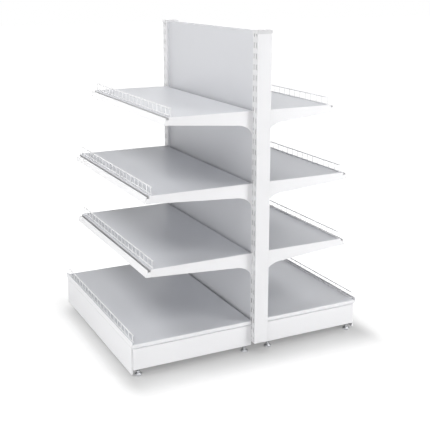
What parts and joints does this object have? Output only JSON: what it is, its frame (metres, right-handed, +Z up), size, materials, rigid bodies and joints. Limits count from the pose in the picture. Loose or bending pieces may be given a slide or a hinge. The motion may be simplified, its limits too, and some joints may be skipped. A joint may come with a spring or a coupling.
{
  "type": "gondola shelving bay",
  "caption": "Double-sided shop shelving bay: slotted uprights, back panels, bracket shelves with price rails and wire fences, and a base on levelling feet.",
  "frame": {"origin": "on the floor under the middle of the outline", "axes": "+Z up, +X along the bay, -Y towards the deeper side, which is called front"},
  "size_m": [1.1136, 1.259, 1.5915],
  "materials": {
    "powder_coat": "satin white powder coat",
    "panel_coat": "satin white powder coat",
    "coated_wire": "satin white coating",
    "cap_plastic": "matt light grey",
    "zinc": "bright zinc"
  },
  "bodies": {
    "frame": {"upright_left": "powder_coat", "upright_right": "powder_coat", "cap_left": "cap_plastic", "cap_right": "cap_plastic", "top_crossbar": "powder_coat", "bottom_crossbar": "powder_coat", "foot_nuts": "zinc", "panel_lower_front": "panel_coat", "panel_lower_rear": "panel_coat", "panel_upper_front": "panel_coat", "panel_upper_rear": "panel_coat", "leg_front_left": "powder_coat", "leg_front_right": "powder_coat", "leg_rear_left": "powder_coat", "leg_rear_right": "powder_coat"},
    "kick_plate_front": {"kick_plate_front": "powder_coat"},
    "deck_front": {"deck_front": "powder_coat"},
    "shelf_front_1": {"tray_front_1": "powder_coat", "bracket_front_1_left": "powder_coat", "bracket_front_1_right": "powder_coat", "price_rail_front_1": "powder_coat"},
    "shelf_front_2": {"tray_front_2": "powder_coat", "bracket_front_2_left": "powder_coat", "bracket_front_2_right": "powder_coat", "price_rail_front_2": "powder_coat"},
    "shelf_front_3": {"tray_front_3": "powder_coat", "bracket_front_3_left": "powder_coat", "bracket_front_3_right": "powder_coat", "price_rail_front_3": "powder_coat"},
    "fence_front_0": {"fence_front_0": "coated_wire"},
    "fence_front_1": {"fence_front_1": "coated_wire"},
    "fence_front_2": {"fence_front_2": "coated_wire"},
    "fence_front_3": {"fence_front_3": "coated_wire"},
    "foot_front_left_inner": {"foot_front_left_inner": "zinc"},
    "foot_front_left_outer": {"foot_front_left_outer": "zinc"},
    "foot_front_right_inner": {"foot_front_right_inner": "zinc"},
    "foot_front_right_outer": {"foot_front_right_outer": "zinc"},
    "kick_plate_rear": {"kick_plate_rear": "powder_coat"},
    "deck_rear": {"deck_rear": "powder_coat"},
    "shelf_rear_1": {"tray_rear_1": "powder_coat", "bracket_rear_1_left": "powder_coat", "bracket_rear_1_right": "powder_coat", "price_rail_rear_1": "powder_coat"},
    "shelf_rear_2": {"tray_rear_2": "powder_coat", "bracket_rear_2_left": "powder_coat", "bracket_rear_2_right": "powder_coat", "price_rail_rear_2": "powder_coat"},
    "shelf_rear_3": {"tray_rear_3": "powder_coat", "bracket_rear_3_left": "powder_coat", "bracket_rear_3_right": "powder_coat", "price_rail_rear_3": "powder_coat"},
    "fence_rear_0": {"fence_rear_0": "coated_wire"},
    "fence_rear_1": {"fence_rear_1": "coated_wire"},
    "fence_rear_2": {"fence_rear_2": "coated_wire"},
    "fence_rear_3": {"fence_rear_3": "coated_wire"},
    "foot_rear_left_inner": {"foot_rear_left_inner": "zinc"},
    "foot_rear_left_outer": {"foot_rear_left_outer": "zinc"},
    "foot_rear_right_inner": {"foot_rear_right_inner": "zinc"},
    "foot_rear_right_outer": {"foot_rear_right_outer": "zinc"}
  },
  "joints": [
    {"name": "kick_plate_front_pull", "type": "slide", "parent": "frame", "child": "kick_plate_front", "axis": [0, -1, 0], "range_m": [0, 0.06]},
    {"name": "deck_front_lift", "type": "slide", "parent": "frame", "child": "deck_front", "axis": [0, 0, 1], "range_m": [0, 0.06]},
    {"name": "shelf_front_1_tilt", "type": "hinge", "parent": "frame", "child": "shelf_front_1", "pos_m": [0, 0.0065, 0.509], "axis": [-1, 0, 0], "range_deg": [0, 15]},
    {"name": "shelf_front_2_tilt", "type": "hinge", "parent": "frame", "child": "shelf_front_2", "pos_m": [0, 0.0065, 0.859], "axis": [-1, 0, 0], "range_deg": [0, 15]},
    {"name": "shelf_front_3_tilt", "type": "hinge", "parent": "frame", "child": "shelf_front_3", "pos_m": [0, 0.0065, 1.209], "axis": [-1, 0, 0], "range_deg": [0, 15]},
    {"name": "fence_front_0_lift", "type": "slide", "parent": "deck_front", "child": "fence_front_0", "axis": [0, 0, 1], "range_m": [0, 0.05]},
    {"name": "fence_front_1_lift", "type": "slide", "parent": "shelf_front_1", "child": "fence_front_1", "axis": [0, 0, 1], "range_m": [0, 0.05]},
    {"name": "fence_front_2_lift", "type": "slide", "parent": "shelf_front_2", "child": "fence_front_2", "axis": [0, 0, 1], "range_m": [0, 0.05]},
    {"name": "fence_front_3_lift", "type": "slide", "parent": "shelf_front_3", "child": "fence_front_3", "axis": [0, 0, 1], "range_m": [0, 0.05]},
    {"name": "foot_front_left_inner_screw", "type": "slide", "parent": "frame", "child": "foot_front_left_inner", "axis": [0, 0, 1], "range_m": [-0.015, 0.01]},
    {"name": "foot_front_left_outer_screw", "type": "slide", "parent": "frame", "child": "foot_front_left_outer", "axis": [0, 0, 1], "range_m": [-0.015, 0.01]},
    {"name": "foot_front_right_inner_screw", "type": "slide", "parent": "frame", "child": "foot_front_right_inner", "axis": [0, 0, 1], "range_m": [-0.015, 0.01]},
    {"name": "foot_front_right_outer_screw", "type": "slide", "parent": "frame", "child": "foot_front_right_outer", "axis": [0, 0, 1], "range_m": [-0.015, 0.01]},
    {"name": "kick_plate_rear_pull", "type": "slide", "parent": "frame", "child": "kick_plate_rear", "axis": [0, 1, 0], "range_m": [0, 0.06]},
    {"name": "deck_rear_lift", "type": "slide", "parent": "frame", "child": "deck_rear", "axis": [0, 0, 1], "range_m": [0, 0.06]},
    {"name": "shelf_rear_1_tilt", "type": "hinge", "parent": "frame", "child": "shelf_rear_1", "pos_m": [0, 0.0775, 0.509], "axis": [1, 0, 0], "range_deg": [0, 15]},
    {"name": "shelf_rear_2_tilt", "type": "hinge", "parent": "frame", "child": "shelf_rear_2", "pos_m": [0, 0.0775, 0.859], "axis": [1, 0, 0], "range_deg": [0, 15]},
    {"name": "shelf_rear_3_tilt", "type": "hinge", "parent": "frame", "child": "shelf_rear_3", "pos_m": [0, 0.0775, 1.209], "axis": [1, 0, 0], "range_deg": [0, 15]},
    {"name": "fence_rear_0_lift", "type": "slide", "parent": "deck_rear", "child": "fence_rear_0", "axis": [0, 0, 1], "range_m": [0, 0.05]},
    {"name": "fence_rear_1_lift", "type": "slide", "parent": "shelf_rear_1", "child": "fence_rear_1", "axis": [0, 0, 1], "range_m": [0, 0.05]},
    {"name": "fence_rear_2_lift", "type": "slide", "parent": "shelf_rear_2", "child": "fence_rear_2", "axis": [0, 0, 1], "range_m": [0, 0.05]},
    {"name": "fence_rear_3_lift", "type": "slide", "parent": "shelf_rear_3", "child": "fence_rear_3", "axis": [0, 0, 1], "range_m": [0, 0.05]},
    {"name": "foot_rear_left_inner_screw", "type": "slide", "parent": "frame", "child": "foot_rear_left_inner", "axis": [0, 0, 1], "range_m": [-0.015, 0.01]},
    {"name": "foot_rear_left_outer_screw", "type": "slide", "parent": "frame", "child": "foot_rear_left_outer", "axis": [0, 0, 1], "range_m": [-0.015, 0.01]},
    {"name": "foot_rear_right_inner_screw", "type": "slide", "parent": "frame", "child": "foot_rear_right_inner", "axis": [0, 0, 1], "range_m": [-0.015, 0.01]},
    {"name": "foot_rear_right_outer_screw", "type": "slide", "parent": "frame", "child": "foot_rear_right_outer", "axis": [0, 0, 1], "range_m": [-0.015, 0.01]}
  ]
}
